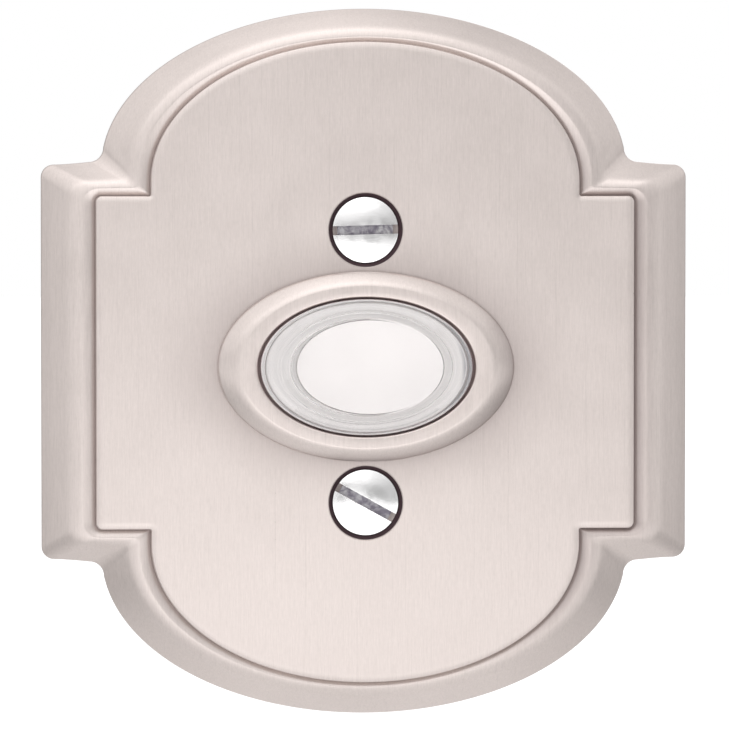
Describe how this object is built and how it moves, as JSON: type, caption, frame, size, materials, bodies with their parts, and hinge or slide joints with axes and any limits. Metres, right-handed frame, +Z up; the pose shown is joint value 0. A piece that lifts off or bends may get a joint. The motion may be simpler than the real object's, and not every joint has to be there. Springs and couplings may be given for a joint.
{
  "type": "doorbell push button",
  "caption": "Oval lit push button in a cast wall plate with arched ends, side tabs, a stepped moulding and slotted wall screws.",
  "frame": {"origin": "middle of the plate's back face, on the wall", "axes": "+Z up along the plate's height, +X to the right seen from the front, +Y into the wall, so the front faces -Y"},
  "size_m": [0.076, 0.0282, 0.083],
  "materials": {
    "satin_nickel": "satin nickel plate, finely brushed",
    "bright_chrome": "bright polished",
    "clear_acrylic": "clear moulded, polished",
    "white_disc": "smooth white",
    "white_plastic": "moulded white",
    "black_plastic": "moulded black",
    "board_brown": "pressed board",
    "brass": "plain brass",
    "zinc_steel": "zinc-plated steel",
    "spring_steel": "drawn spring wire",
    "lamp_glass": "clear glass",
    "resistor_body": "lacquered"
  },
  "bodies": {
    "plate": {"rose_plate": "satin_nickel", "bezel_ring": "satin_nickel", "return_spring": "spring_steel", "switch_housing": "black_plastic", "terminal_board": "board_brown", "lamp": "lamp_glass", "lamp_resistor": "resistor_body", "wall_screw_top": "bright_chrome", "wall_screw_bottom": "bright_chrome", "contact_rivet_left": "brass", "contact_rivet_right": "brass", "terminal_plate_left": "brass", "terminal_plate_right": "brass", "terminal_washer_left": "zinc_steel", "terminal_washer_right": "zinc_steel", "terminal_screw_left": "zinc_steel", "terminal_screw_right": "zinc_steel", "board_screw_left": "zinc_steel", "board_screw_right": "zinc_steel", "housing_screw_left": "zinc_steel", "housing_screw_right": "zinc_steel"},
    "button": {"button_lens": "clear_acrylic", "diffuser_disc": "white_disc", "plunger": "white_plastic", "contact_bridge": "brass"}
  },
  "joints": [
    {"name": "button_press", "type": "slide", "parent": "plate", "child": "button", "axis": [0, 1, 0], "range_m": [0, 0.0015], "stiffness_N_per_m": 800, "springref_m": -0.002, "deforming": ["return_spring"]}
  ]
}
